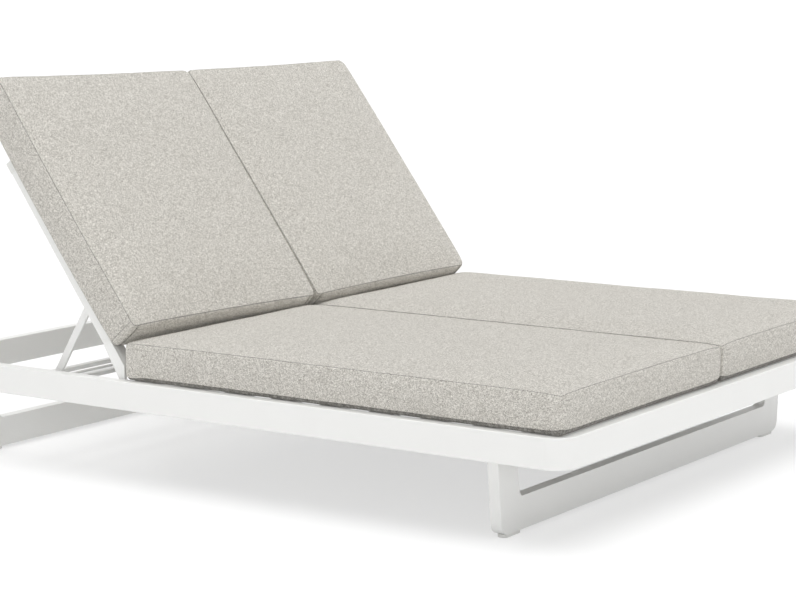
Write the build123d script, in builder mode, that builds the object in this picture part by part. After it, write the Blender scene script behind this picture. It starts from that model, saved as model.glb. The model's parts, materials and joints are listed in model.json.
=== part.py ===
"""A double chaise lounger: a white aluminium frame on two skid legs, two reclining
backrests with prop stands, and four boxed cushions.

Millimetres. X runs across, Y from the foot end (-Y) to the head end (+Y), Z up.
The origin is on the floor under the middle of the frame. The backrests stand at
the angle that the photograph shows.
"""

import os
from math import atan2, cos, hypot, radians, sin, tan

from build123d import *

os.makedirs("parts", exist_ok=True)

# Frame
frame_length = 2000.0
frame_width = 1560.0
frame_top = 266.0
rail_height = 72.0
rail_depth = 30.0
frame_corner_radius = 55.0
tube_wall = 2.0
tube_edge = 2.5

# Members inside the frame
cross_tube_width = 40.0
cross_tube_height = 28.0
beam_width = 40.0
slat_height = 12.0
slat_width = 60.0
slat_count = 9
slat_first_inset = 55.0
slat_last_inset = 45.0
slat_end_clearance = 1.0
ledge_width = 20.0
ledge_height = 20.0
ledge_wall = 2.0
ledge_end_gap = 28.0
screw_radius = 3.0
screw_head_radius = 5.5
screw_head_height = 1.2
screw_inset = 10.0
rear_bar_width = 22.0
rear_bar_height = 12.0
near_bar_from_hinge = 307.0
far_bar_from_hinge = 413.5

# Skid legs
leg_inset = 56.0
leg_lean = 6.0
front_leg_setback = 206.0
rear_leg_setback = 125.0
leg_tube_height = 78.0
leg_tube_depth = 30.0
post_width = 84.0
leg_outer_radius = 30.0
leg_inner_radius = 12.0
post_plug_length = 24.0
leg_bolt_radius = 4.0
leg_bolt_head_radius = 6.5
leg_bolt_head_height = 5.0
leg_bolt_spacing = 40.0
leg_bolt_grip = 20.0
glide_from_end = 52.0
glide_length = 70.0
glide_width = 26.0
glide_height = 8.0
glide_edge = 2.0
glide_peg_radius = 4.0
glide_peg_length = 10.0

# Cushions
cushion_side_inset = 20.0
cushion_foot_inset = 18.0
cushion_middle_gap = 5.0
cushion_thickness = 94.0
seat_cushion_length = 1252.0
back_cushion_length = 745.0
cushion_corner_radius = 14.0
cushion_crown = 10.0
cushion_draw_in = 4.0
soft_clearance = 0.3
crown_ring_shares = [0.0, 0.3, 0.62, 0.88, 1.0]
crown_inset = 150.0
seam_roll = 5.0
boxing_bulge = 2.0

# Backrests
backrest_angle = 54.0
backrest_length = 677.0
hinge_behind_cushion = 12.0
hinge_drop = 30.0
back_bar_width = 30.0
back_bar_thickness = 33.0
back_bar_start = 60.0
lower_slat_count = 2
upper_slat_count = 3
slat_below_pivot = 38.0
slat_above_pivot = 84.0
back_slat_width = 36.0
back_slat_thickness = 5.0

# Hinges
hinge_gap = 4.0
hinge_plate_thickness = 8.0
hinge_eye_radius = 12.0
hinge_plate_reach = 130.0
hinge_plate_rear_drop = 5.0
hinge_plate_top_inset = 6.5
hinge_plate_nose = 54.0
hinge_plate_neck = 29.0
hinge_bolt_radius = 5.0
hinge_head_radius = 9.0
hinge_head_height = 5.0
bush_wall = 2.0
washer_radius = 10.0
rivet_nut_flange = 1.0
rivet_nut_length = 16.0
rivet_nut_wall = 2.0
running_clearance = 0.05
bolt_clearance = 0.1

# Prop stands
stand_pivot_along = 264.5
stand_pivot_off = 18.5
stand_arm_width = 20.0
stand_arm_thickness = 7.0
stand_gap = 1.5
stand_bolt_radius = 4.0
stand_head_radius = 7.0
stand_head_height = 2.0
stand_nut_radius = 7.5
stand_rod_radius = 4.0
rack_gap = 8.0
rack_thickness = 8.0
rack_tooth_gap = 0.3
rack_tooth_depth = 3.5
rack_end_margin = 14.0
rack_angles = [22.0, 38.0, 54.0, 69.0]
rest_block_width = 26.0
rest_block_depth = 20.0
rest_stub_margin = 8.0

# The head end of the cushions slides up the backrest as it rises, because the
# seat cushion stands in the way of its lower edge.
cushion_slide_per_radian = 119.0
back_cushion_flat_gap = 5.0

# Places worked out from the sizes above
foot = -frame_length / 2
head = frame_length / 2
outer_side = frame_width / 2
inner_side = outer_side - rail_depth
rail_bottom = frame_top - rail_height
deck_bottom = frame_top - slat_height
cross_top = rail_bottom + cross_tube_height
seat_rear = foot + cushion_foot_inset + seat_cushion_length
hinge_y = seat_rear + hinge_behind_cushion
hinge_z = frame_top - hinge_drop
recline = radians(backrest_angle)
up_back = Vector(0, cos(recline), sin(recline))
off_back = Vector(0, -sin(recline), cos(recline))
back_face = hinge_drop
bar_off = back_face - back_bar_thickness / 2
front_leg_y = foot + front_leg_setback + leg_tube_depth / 2
rear_leg_y = head - rear_leg_setback - leg_tube_depth / 2
leg_end = outer_side - leg_inset
base_bottom = glide_height
base_top = base_bottom + leg_tube_height
lean = radians(leg_lean)
base_end_low = leg_end - (rail_bottom - base_bottom) * tan(lean)
base_end_high = leg_end - (rail_bottom - base_top) * tan(lean)
post_x = leg_end - post_width / 2
post_foot_x = base_end_high - post_width / 2
glide_x = base_end_low - glide_from_end
stand_length = hypot(stand_pivot_along, stand_pivot_off)
stand_lead = atan2(stand_pivot_off, stand_pivot_along)
units = {"left": -1, "right": 1}

# Distances from the middle of the frame, outwards, of what each backrest has on
# its outer side and on its inner side
outer_plate = inner_side - hinge_gap
outer_bar = outer_plate - hinge_plate_thickness
outer_bar_end = outer_bar - back_bar_width
outer_arm = outer_bar_end - stand_gap
outer_arm_end = outer_arm - stand_arm_thickness
outer_rack = outer_arm_end - rack_gap
inner_plate = beam_width / 2 + hinge_gap
inner_bar = inner_plate + hinge_plate_thickness
inner_bar_end = inner_bar + back_bar_width
inner_arm = inner_bar_end + stand_gap
inner_arm_end = inner_arm + stand_arm_thickness
inner_rack = inner_arm_end + rack_gap


def keep(piece, name):
    """Label a finished piece and write its file."""
    piece.part.label = name
    export_step(piece.part, f"parts/{name}.step")


def tube_section(width, height):
    """Draw a rounded rectangular tube's section in the sketch that is open."""
    RectangleRounded(width, height, tube_edge)
    RectangleRounded(
        width - 2 * tube_wall,
        height - 2 * tube_wall,
        tube_edge - tube_wall,
        mode=Mode.SUBTRACT,
    )


def across(y, z):
    """A plane at the left end of a piece that runs along X."""
    return Plane(origin=(0, y, z), x_dir=(0, 1, 0), z_dir=(1, 0, 0))


def along(x, y, z):
    """A plane at the foot end of a piece that runs along Y."""
    return Plane(origin=(x, y, z), x_dir=(-1, 0, 0), z_dir=(0, 1, 0))


def back_point(x, reach, off):
    """The point at a reach from the hinge up a backrest, and off it to the front."""
    return Vector(x, hinge_y, hinge_z) + up_back * reach + off_back * off


def back_side(x):
    """A side view plane on the backrest: reach along its x, off along its y."""
    return Plane(origin=back_point(x, 0, 0), x_dir=up_back, z_dir=(1, 0, 0))


def back_section(x, reach, off):
    """A plane square to the backrest's length, for a piece that runs up it."""
    return Plane(origin=back_point(x, reach, off), x_dir=(1, 0, 0), z_dir=up_back)


def rod_y(angle):
    """Where the stand's rod is along Y when the backrest is at an angle."""
    return hinge_y + 2 * stand_length * cos(radians(angle) + stand_lead)


# Perimeter rails
side_run = frame_length - 2 * frame_corner_radius
end_run = frame_width - 2 * frame_corner_radius
rail_z = frame_top - rail_height / 2
hinge_hole_radius = hinge_bolt_radius + rivet_nut_wall

for side, sign in units.items():
    rail_x = sign * (outer_side - rail_depth / 2)
    wall_x = sign * (inner_side + tube_wall / 2)
    with BuildPart() as side_rail:
        with BuildSketch(along(rail_x, -side_run / 2, rail_z)):
            tube_section(rail_depth, rail_height)
        extrude(amount=side_run)
        with BuildSketch(Plane(origin=(wall_x, hinge_y, hinge_z), z_dir=(1, 0, 0))):
            Circle(hinge_hole_radius + bolt_clearance)
        extrude(amount=tube_wall, both=True, mode=Mode.SUBTRACT)
    keep(side_rail, f"{side}_side_rail")

for end, rail_y in (("foot", foot + rail_depth / 2), ("head", head - rail_depth / 2)):
    with BuildPart() as end_rail:
        with BuildSketch(across(rail_y, rail_z).offset(-end_run / 2)):
            tube_section(rail_depth, rail_height)
        extrude(amount=end_run)
    keep(end_rail, f"{end}_rail")

bend_radius = frame_corner_radius - rail_depth / 2
for end, end_sign in (("foot", -1), ("head", 1)):
    for side, sign in units.items():
        bend_x = sign * (outer_side - frame_corner_radius)
        bend_y = end_sign * (head - frame_corner_radius)
        bend_axis = Axis((bend_x, bend_y, rail_z), (0, 0, end_sign * sign))
        with BuildPart() as corner:
            with BuildSketch(
                Plane(
                    origin=(bend_x + sign * bend_radius, bend_y, rail_z),
                    x_dir=(1, 0, 0),
                    z_dir=(0, -1, 0),
                )
            ):
                tube_section(rail_depth, rail_height)
            revolve(axis=bend_axis, revolution_arc=90)
        keep(corner, f"{end}_{side}_corner")

# Cross tubes over the front leg and under the hinges, open at their ends, which
# are welded to the side rails
for name, tube_y in (
    ("front_cross_tube", front_leg_y),
    ("hinge_cross_tube", hinge_y),
):
    with BuildPart() as cross_tube:
        with BuildSketch(
            across(tube_y, rail_bottom + cross_tube_height / 2).offset(-inner_side)
        ):
            tube_section(cross_tube_width, cross_tube_height)
        extrude(amount=2 * inner_side)
        if tube_y != hinge_y:
            with BuildSketch(Plane((0, tube_y, rail_bottom))):
                with Locations((-post_x, 0), (post_x, 0)):
                    with GridLocations(leg_bolt_spacing, 0, 2, 1):
                        Circle(leg_bolt_radius + bolt_clearance)
            extrude(amount=cross_tube_height, mode=Mode.SUBTRACT)
    keep(cross_tube, name)

# Short tubes over the rear leg: one at each side rail for the post's bolts, and
# one under the beam that only carries the inner rest blocks
side_stub = inner_side - post_x + post_width / 2
middle_stub = inner_bar_end + rest_stub_margin
with BuildPart() as rear_stubs:
    for start, run in (
        (-inner_side, side_stub),
        (-middle_stub, 2 * middle_stub),
        (inner_side - side_stub, side_stub),
    ):
        with BuildSketch(
            across(rear_leg_y, rail_bottom + cross_tube_height / 2).offset(start)
        ):
            tube_section(cross_tube_width, cross_tube_height)
        extrude(amount=run)
    with BuildSketch(Plane((0, rear_leg_y, rail_bottom))):
        with Locations((-post_x, 0), (post_x, 0)):
            with GridLocations(leg_bolt_spacing, 0, 2, 1):
                Circle(leg_bolt_radius + bolt_clearance)
    extrude(amount=cross_tube_height, mode=Mode.SUBTRACT)
keep(rear_stubs, "rear_cross_stubs")

# The two light bars that cross the frame behind the hinges
with BuildPart() as rear_bars:
    for bar_from_hinge in (near_bar_from_hinge, far_bar_from_hinge):
        bar_plane = across(hinge_y + bar_from_hinge, cross_top - rear_bar_height / 2)
        with BuildSketch(bar_plane.offset(-inner_side)):
            tube_section(rear_bar_width, rear_bar_height)
        extrude(amount=2 * inner_side)
keep(rear_bars, "rear_bars")

# The beam down the middle, which stands on the cross tubes and carries the inner
# hinges
beam_height = deck_bottom - cross_top
beam_run = frame_length - 2 * rail_depth
with BuildPart() as centre_beam:
    with BuildSketch(along(0, -beam_run / 2, cross_top + beam_height / 2)):
        tube_section(beam_width, beam_height)
    extrude(amount=beam_run)
    with BuildSketch(across(hinge_y, hinge_z).offset(-beam_width / 2)):
        Circle(hinge_bolt_radius + bolt_clearance)
    extrude(amount=beam_width, mode=Mode.SUBTRACT)
keep(centre_beam, "centre_beam")

# The seat's deck: slats on an angle along each side rail and on the beam
slat_first = foot + rail_depth + slat_first_inset
slat_last = seat_rear - slat_last_inset
slat_pitch = (slat_last - slat_first) / (slat_count - 1)
slat_middle = (slat_first + slat_last) / 2
slat_length = 2 * (inner_side - slat_end_clearance)
screw_x = inner_side - ledge_width + screw_inset
ledge_start = foot + rail_depth + ledge_end_gap
ledge_run = slat_last + slat_width / 2 - ledge_start
screw_depth = slat_height + ledge_wall + screw_head_height

with BuildPart() as seat_slats:
    for place in range(slat_count):
        slat_plane = across(slat_first + place * slat_pitch, frame_top - slat_height / 2)
        with BuildSketch(slat_plane.offset(-slat_length / 2)):
            tube_section(slat_width, slat_height)
        extrude(amount=slat_length)
    with BuildSketch(Plane((0, slat_middle, deck_bottom))):
        with GridLocations(2 * screw_x, slat_pitch, 2, slat_count):
            Circle(screw_radius + bolt_clearance)
    extrude(amount=slat_height, mode=Mode.SUBTRACT)
    with BuildSketch(Plane((0, slat_middle, frame_top))):
        with GridLocations(2 * screw_x, slat_pitch, 2, slat_count):
            Circle(screw_head_radius + bolt_clearance)
    extrude(amount=-screw_head_height, mode=Mode.SUBTRACT)
keep(seat_slats, "seat_slats")

with BuildPart() as slat_screws:
    with BuildSketch(Plane((0, slat_middle, frame_top))):
        with GridLocations(2 * screw_x, slat_pitch, 2, slat_count):
            Circle(screw_head_radius)
    extrude(amount=-screw_head_height)
    with BuildSketch(Plane((0, slat_middle, frame_top - screw_head_height))):
        with GridLocations(2 * screw_x, slat_pitch, 2, slat_count):
            Circle(screw_radius)
    extrude(amount=-screw_depth)
keep(slat_screws, "slat_screws")

for side, sign in units.items():
    ledge_points = [
        (sign * inner_side, deck_bottom),
        (sign * (inner_side - ledge_width), deck_bottom),
        (sign * (inner_side - ledge_width), deck_bottom - ledge_wall),
        (sign * (inner_side - ledge_wall), deck_bottom - ledge_wall),
        (sign * (inner_side - ledge_wall), deck_bottom - ledge_height),
        (sign * inner_side, deck_bottom - ledge_height),
    ]
    with BuildPart() as ledge:
        with BuildSketch(Plane((0, ledge_start, 0), (1, 0, 0), (0, -1, 0))):
            with BuildLine():
                Polyline(ledge_points, close=True)
            make_face()
        extrude(amount=-ledge_run)
        with BuildSketch(Plane((sign * screw_x, slat_middle, deck_bottom))):
            with GridLocations(slat_pitch, slat_pitch, 1, slat_count):
                Circle(screw_radius + bolt_clearance)
        extrude(amount=-ledge_wall, mode=Mode.SUBTRACT)
    keep(ledge, f"{side}_slat_ledge")

# Skid legs: each is one base tube, which is open inside to the two posts that
# are welded on it. The posts lean, so the legs are narrower at the floor.
post_run = (rail_bottom - base_top) / cos(lean)
base_corner = leg_outer_radius - tube_wall
flare_overlap = leg_inner_radius * tan(lean)
for end, leg_y in (("front", front_leg_y), ("rear", rear_leg_y)):
    leg_plane = Plane((0, leg_y, base_bottom), (1, 0, 0), (0, -1, 0))
    with BuildPart() as base:
        with BuildSketch(leg_plane.offset(-leg_tube_depth / 2)):
            with BuildLine():
                Polyline(
                    (-base_end_high, leg_tube_height),
                    (-base_end_low, 0),
                    (base_end_low, 0),
                    (base_end_high, leg_tube_height),
                    close=True,
                )
            make_face()
            fillet(vertices().group_by(Axis.Y)[0], leg_outer_radius)
        extrude(amount=leg_tube_depth)
        with BuildSketch(leg_plane.offset(-leg_tube_depth / 2 + tube_wall)):
            with BuildLine():
                Polyline(
                    (tube_wall - base_end_high, leg_tube_height - tube_wall),
                    (tube_wall - base_end_low, tube_wall),
                    (base_end_low - tube_wall, tube_wall),
                    (base_end_high - tube_wall, leg_tube_height - tube_wall),
                    close=True,
                )
            make_face()
            fillet(vertices().group_by(Axis.Y)[0], base_corner)
        extrude(amount=leg_tube_depth - 2 * tube_wall, mode=Mode.SUBTRACT)
        with BuildSketch(Plane((0, leg_y, base_top))):
            with Locations((-post_foot_x, 0), (post_foot_x, 0)):
                Rectangle(post_width - 2 * tube_wall, leg_tube_depth - 2 * tube_wall)
        extrude(amount=-tube_wall, mode=Mode.SUBTRACT)
        with BuildSketch(Plane((0, leg_y, base_bottom))):
            with Locations((-glide_x, 0), (glide_x, 0)):
                Circle(glide_peg_radius + bolt_clearance)
        extrude(amount=tube_wall, mode=Mode.SUBTRACT)
    keep(base, f"{end}_skid_base")

    for side, sign in units.items():
        flare_x = post_foot_x - post_width / 2 - leg_inner_radius
        post_way = Vector(sign * sin(lean), 0, cos(lean))
        with BuildPart() as post:
            with BuildSketch(Plane((sign * post_foot_x, leg_y, base_top))):
                tube_section(post_width, leg_tube_depth)
            extrude(amount=post_run, dir=post_way)
            with BuildSketch(Plane((sign * post_x, leg_y, rail_bottom))):
                RectangleRounded(post_width, leg_tube_depth, tube_edge)
            extrude(amount=post_plug_length, dir=-post_way)
            with BuildSketch(leg_plane.offset(-leg_tube_depth / 2)):
                with Locations(
                    (
                        sign * (flare_x + (leg_inner_radius + flare_overlap) / 2),
                        leg_tube_height + leg_inner_radius / 2,
                    )
                ):
                    Rectangle(leg_inner_radius + flare_overlap, leg_inner_radius)
                with Locations((sign * flare_x, leg_tube_height + leg_inner_radius)):
                    Circle(leg_inner_radius, mode=Mode.SUBTRACT)
            extrude(amount=leg_tube_depth)
            with BuildSketch(Plane((sign * post_x, leg_y, rail_bottom))):
                with GridLocations(leg_bolt_spacing, 0, 2, 1):
                    Circle(leg_bolt_radius + bolt_clearance)
            extrude(amount=-post_plug_length, mode=Mode.SUBTRACT)
        keep(post, f"{end}_{side}_post")

with BuildPart() as leg_bolts:
    for leg_y in (front_leg_y, rear_leg_y):
        with BuildSketch(Plane((0, leg_y, cross_top))):
            with Locations((-post_x, 0), (post_x, 0)):
                with GridLocations(leg_bolt_spacing, 0, 2, 1):
                    Circle(leg_bolt_head_radius)
        extrude(amount=leg_bolt_head_height)
        with BuildSketch(Plane((0, leg_y, cross_top))):
            with Locations((-post_x, 0), (post_x, 0)):
                with GridLocations(leg_bolt_spacing, 0, 2, 1):
                    Circle(leg_bolt_radius)
        extrude(amount=-cross_tube_height - leg_bolt_grip)
keep(leg_bolts, "leg_bolts")

with BuildPart() as glides:
    for leg_y in (front_leg_y, rear_leg_y):
        with BuildSketch(Plane((0, leg_y, 0))):
            with Locations((-glide_x, 0), (glide_x, 0)):
                RectangleRounded(glide_length, glide_width, glide_width / 2 - glide_edge)
        extrude(amount=glide_height)
    chamfer(faces().group_by(Axis.Z)[0].edges(), glide_edge / 2)
    for leg_y in (front_leg_y, rear_leg_y):
        with BuildSketch(Plane((0, leg_y, glide_height))):
            with Locations((-glide_x, 0), (glide_x, 0)):
                Circle(glide_peg_radius)
        extrude(amount=glide_peg_length)
keep(glides, "floor_glides")

# Hinge bolts: one into each side rail, and one through the beam for both inner
# hinges
bolt_start = outer_plate - hinge_plate_thickness - running_clearance
bolt_reach = inner_side + rivet_nut_length - bolt_start
for side, sign in units.items():
    with BuildPart() as hinge_bolt:
        with BuildSketch(across(hinge_y, hinge_z).offset(sign * bolt_start)):
            Circle(hinge_bolt_radius)
        extrude(amount=sign * bolt_reach)
        with BuildSketch(across(hinge_y, hinge_z).offset(sign * bolt_start)):
            RegularPolygon(hinge_head_radius, 6)
        extrude(amount=-sign * hinge_head_height)
    keep(hinge_bolt, f"{side}_hinge_bolt")

centre_reach = inner_plate + hinge_plate_thickness + running_clearance
centre_plane = across(hinge_y, hinge_z)
with BuildPart() as centre_bolt:
    with BuildSketch(centre_plane.offset(-centre_reach)):
        Circle(hinge_bolt_radius)
    extrude(amount=2 * centre_reach + hinge_head_height)
    with BuildSketch(centre_plane.offset(-centre_reach)):
        RegularPolygon(hinge_head_radius, 6)
    extrude(amount=-hinge_head_height)
keep(centre_bolt, "centre_hinge_bolt")

with BuildPart() as hinge_nuts:
    with BuildSketch(centre_plane.offset(centre_reach)):
        RegularPolygon(hinge_head_radius, 6)
        Circle(hinge_bolt_radius + bolt_clearance, mode=Mode.SUBTRACT)
    extrude(amount=hinge_head_height)
    for sign in units.values():
        with BuildSketch(centre_plane.offset(sign * inner_side)):
            Circle(washer_radius)
            Circle(hinge_bolt_radius + bolt_clearance, mode=Mode.SUBTRACT)
        extrude(amount=-sign * rivet_nut_flange)
        with BuildSketch(centre_plane.offset(sign * inner_side)):
            Circle(hinge_hole_radius)
            Circle(hinge_bolt_radius + bolt_clearance, mode=Mode.SUBTRACT)
        extrude(amount=sign * rivet_nut_length)
keep(hinge_nuts, "hinge_nuts")

outer_washer = inner_side - rivet_nut_flange - running_clearance
inner_washer = beam_width / 2 + running_clearance
outer_washer_thickness = hinge_gap - rivet_nut_flange - 2 * running_clearance
inner_washer_thickness = hinge_gap - 2 * running_clearance
with BuildPart() as hinge_washers:
    for sign in units.values():
        for start, thickness in (
            (outer_washer, -sign * outer_washer_thickness),
            (inner_washer, sign * inner_washer_thickness),
        ):
            with BuildSketch(centre_plane.offset(sign * start)):
                Circle(washer_radius)
                Circle(hinge_bolt_radius + bolt_clearance, mode=Mode.SUBTRACT)
            extrude(amount=thickness)
keep(hinge_washers, "hinge_washers")

# Racks for the stands' rods, on the hinge cross tube and the two bars
rack_start = hinge_y
rack_end = rod_y(0) + rack_end_margin
rack_top = hinge_z - stand_rod_radius - rack_tooth_gap
rack_notch_radius = stand_rod_radius + rack_tooth_gap
notch_centre = rack_top - rack_tooth_depth + rack_notch_radius
rack_middle = (rack_start + rack_end) / 2
rack_height = rack_top - cross_top
for side, sign in units.items():
    with BuildPart() as racks:
        for rack_x in (outer_rack - rack_thickness, inner_rack):
            left_face = min(sign * rack_x, sign * (rack_x + rack_thickness))
            with BuildSketch(across(0, 0).offset(left_face)):
                with Locations((rack_middle, cross_top + rack_height / 2)):
                    Rectangle(rack_end - rack_start, rack_height)
                for angle in rack_angles:
                    with Locations((rod_y(angle), notch_centre)):
                        Circle(rack_notch_radius, mode=Mode.SUBTRACT)
            extrude(amount=rack_thickness)
    keep(racks, f"{side}_racks")

# Blocks on the rear stubs, flush with their foot side, that the backrests lie on
# when they are flat
block_height = hinge_z + back_face - back_bar_thickness - soft_clearance - cross_top
block_y = rear_leg_y - cross_tube_width / 2 + rest_block_depth / 2
with BuildPart() as rest_blocks:
    with BuildSketch(Plane((0, block_y, cross_top))):
        for sign in units.values():
            for bar_x in (outer_bar - back_bar_width / 2, inner_bar + back_bar_width / 2):
                with Locations((sign * bar_x, 0)):
                    Rectangle(rest_block_width, rest_block_depth)
    extrude(amount=block_height)
keep(rest_blocks, "rest_blocks")

# Backrests: each is a welded frame of tubes with slats let in between them
top_bar_reach = backrest_length - back_bar_width / 2
bottom_bar_reach = back_bar_start + back_bar_width / 2
side_bar_run = backrest_length - back_bar_width - back_bar_start
lower_slat_end = stand_pivot_along - slat_below_pivot
upper_slat_start = stand_pivot_along + slat_above_pivot
lower_slat_step = (lower_slat_end - bottom_bar_reach) / lower_slat_count
upper_slat_step = (top_bar_reach - upper_slat_start) / upper_slat_count
stand_axis = back_side(0).from_local_coords(Vector(stand_pivot_along, stand_pivot_off))
bar_rear = back_face - back_bar_thickness
insert_radius = stand_bolt_radius + rivet_nut_wall


def cross_span(sign, near, far):
    """The left face of a piece between two distances, and its length."""
    return min(sign * near, sign * far), abs(far - near)


for side, sign in units.items():
    for name, bar_x, wall_x in (
        ("outer", outer_bar - back_bar_width / 2, outer_bar_end + tube_wall / 2),
        ("inner", inner_bar + back_bar_width / 2, inner_bar_end - tube_wall / 2),
    ):
        with BuildPart() as side_bar:
            with BuildSketch(back_section(sign * bar_x, back_bar_start, bar_off)):
                tube_section(back_bar_width, back_bar_thickness)
            extrude(amount=side_bar_run)
            with BuildSketch(back_side(sign * wall_x)):
                with Locations((stand_pivot_along, stand_pivot_off)):
                    Circle(insert_radius + bolt_clearance)
            extrude(amount=tube_wall, both=True, mode=Mode.SUBTRACT)
        keep(side_bar, f"{side}_back_{name}_bar")

    left_face, run = cross_span(sign, outer_bar, inner_bar)
    with BuildPart() as top_bar:
        with BuildSketch(back_side(left_face)):
            with Locations((top_bar_reach, bar_off)):
                tube_section(back_bar_width, back_bar_thickness)
        extrude(amount=run)
    keep(top_bar, f"{side}_back_top_bar")

    left_face, run = cross_span(sign, outer_bar_end, inner_bar_end)
    with BuildPart() as bottom_bar:
        with BuildSketch(back_side(left_face)):
            with Locations((bottom_bar_reach, bar_off)):
                tube_section(back_bar_width, back_bar_thickness)
        extrude(amount=run)
    keep(bottom_bar, f"{side}_back_bottom_bar")

    with BuildPart() as back_slats:
        with BuildSketch(back_side(left_face)):
            slat_off = back_face - back_slat_thickness / 2
            for place in range(lower_slat_count):
                with Locations((lower_slat_end - place * lower_slat_step, slat_off)):
                    Rectangle(back_slat_width, back_slat_thickness)
            for place in range(upper_slat_count):
                with Locations((upper_slat_start + place * upper_slat_step, slat_off)):
                    Rectangle(back_slat_width, back_slat_thickness)
        extrude(amount=run)
    keep(back_slats, f"{side}_back_slats")

    with BuildPart() as hinge_plates:
        for near, far in ((outer_plate, outer_bar), (inner_plate, inner_bar)):
            left_face, run = cross_span(sign, near, far)
            with BuildSketch(back_side(left_face)):
                with BuildLine():
                    Polyline(
                        (0, bar_rear - hinge_plate_rear_drop),
                        (hinge_plate_reach, bar_rear + hinge_plate_top_inset),
                        (hinge_plate_reach, back_face),
                        (hinge_plate_nose, back_face),
                        (hinge_plate_neck, hinge_eye_radius),
                        (0, hinge_eye_radius),
                        close=True,
                    )
                make_face()
                Circle(hinge_eye_radius)
                Circle(hinge_bolt_radius + bush_wall, mode=Mode.SUBTRACT)
            extrude(amount=run)
    keep(hinge_plates, f"{side}_hinge_plates")

    with BuildPart() as bushes:
        for near, far in ((outer_plate, outer_bar), (inner_plate, inner_bar)):
            left_face, run = cross_span(sign, near, far)
            with BuildSketch(back_side(left_face)):
                Circle(hinge_bolt_radius + bush_wall)
                Circle(hinge_bolt_radius + running_clearance, mode=Mode.SUBTRACT)
            extrude(amount=run)
    keep(bushes, f"{side}_hinge_bushes")

    # Stand pivots: a bolt through each arm, into a rivet nut in the side bar
    with BuildPart() as stand_bolts:
        for arm_face, nut_face, step in (
            (outer_arm_end, outer_bar_end, sign),
            (inner_arm_end, inner_bar_end, -sign),
        ):
            head_plane = back_side(sign * arm_face).offset(-step * running_clearance)
            with BuildSketch(head_plane):
                with Locations((stand_pivot_along, stand_pivot_off)):
                    Circle(stand_head_radius)
            extrude(amount=-step * stand_head_height)
            with BuildSketch(head_plane):
                with Locations((stand_pivot_along, stand_pivot_off)):
                    Circle(stand_bolt_radius)
            shank = abs(arm_face - nut_face) + running_clearance + rivet_nut_length
            extrude(amount=step * shank)
    keep(stand_bolts, f"{side}_stand_bolts")

    with BuildPart() as stand_nuts:
        for nut_face, step in ((outer_bar_end, sign), (inner_bar_end, -sign)):
            for radius, length in (
                (stand_nut_radius, -step * rivet_nut_flange),
                (insert_radius, step * rivet_nut_length),
            ):
                with BuildSketch(back_side(sign * nut_face)):
                    with Locations((stand_pivot_along, stand_pivot_off)):
                        Circle(radius)
                        Circle(stand_bolt_radius + bolt_clearance, mode=Mode.SUBTRACT)
                extrude(amount=length)
    keep(stand_nuts, f"{side}_stand_nuts")

# Prop stands: two flat arms joined by a rod at their foot
rod_point = Vector(0, rod_y(backrest_angle), hinge_z)
arm_way = (rod_point - stand_axis).normalized()
for side, sign in units.items():
    with BuildPart() as arms:
        for near, far in ((outer_arm, outer_arm_end), (inner_arm, inner_arm_end)):
            left_face, run = cross_span(sign, near, far)
            arm_plane = Plane(
                origin=stand_axis + Vector(left_face, 0, 0), x_dir=arm_way, z_dir=(1, 0, 0)
            )
            with BuildSketch(arm_plane):
                with Locations((stand_length / 2, 0)):
                    SlotCenterToCenter(stand_length, stand_arm_width)
                Circle(stand_bolt_radius + running_clearance, mode=Mode.SUBTRACT)
                with Locations((stand_length, 0)):
                    Circle(stand_rod_radius, mode=Mode.SUBTRACT)
            extrude(amount=run)
    keep(arms, f"{side}_stand_arms")

    left_face, run = cross_span(sign, outer_arm, inner_arm)
    with BuildPart() as rod:
        with BuildSketch(across(rod_point.Y, rod_point.Z).offset(left_face)):
            Circle(stand_rod_radius)
        extrude(amount=run)
    keep(rod, f"{side}_stand_rod")


# Each ring of a cushion: its height and its inset from the seams' outline. The
# boxing bulges between the seams, and the crown rises over the top seam.
ring_insets = [seam_roll, 0.0, -boxing_bulge / 2, -boxing_bulge / 2, 0.0]
ring_heights = [
    0.0,
    seam_roll,
    cushion_thickness / 3,
    2 * cushion_thickness / 3,
    cushion_thickness - seam_roll,
]
for share in crown_ring_shares:
    ring_insets.append(seam_roll + crown_inset * share)
    ring_heights.append(cushion_thickness + cushion_crown * sin(radians(90) * share))

cushion_width = outer_side - cushion_side_inset - cushion_middle_gap / 2
cushion_x = (outer_side - cushion_side_inset + cushion_middle_gap / 2) / 2
seat_cushion_y = foot + cushion_foot_inset + seat_cushion_length / 2
back_cushion_start = (
    back_cushion_flat_gap - hinge_behind_cushion + cushion_slide_per_radian * recline
)
back_cushion_reach = back_cushion_start + back_cushion_length / 2


def cushion(base_plane, length):
    """A boxed cushion that stands on a plane: a loft through its rings.

    Each ring has rounded corners, and its four sides are drawn in a little.
    """
    radius = cushion_corner_radius
    turn = radius * (1 - cos(radians(45)))
    with BuildPart() as soft:
        for height, inset in zip(ring_heights, ring_insets):
            half_width = cushion_width / 2 - inset
            half_length = length / 2 - inset
            with BuildSketch(base_plane.offset(height)):
                with BuildLine():
                    for sx, sy in ((1, 1), (-1, 1), (-1, -1), (1, -1)):
                        ThreePointArc(
                            (sx * half_width, sy * (half_length - radius)),
                            (sx * (half_width - turn), sy * (half_length - turn)),
                            (sx * (half_width - radius), sy * half_length),
                        )
                    for sy in (1, -1):
                        ThreePointArc(
                            (half_width - radius, sy * half_length),
                            (0, sy * (half_length - cushion_draw_in)),
                            (radius - half_width, sy * half_length),
                        )
                    for sx in (1, -1):
                        ThreePointArc(
                            (sx * half_width, half_length - radius),
                            (sx * (half_width - cushion_draw_in), 0),
                            (sx * half_width, radius - half_length),
                        )
                make_face()
        loft(ruled=True)
    return soft


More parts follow.
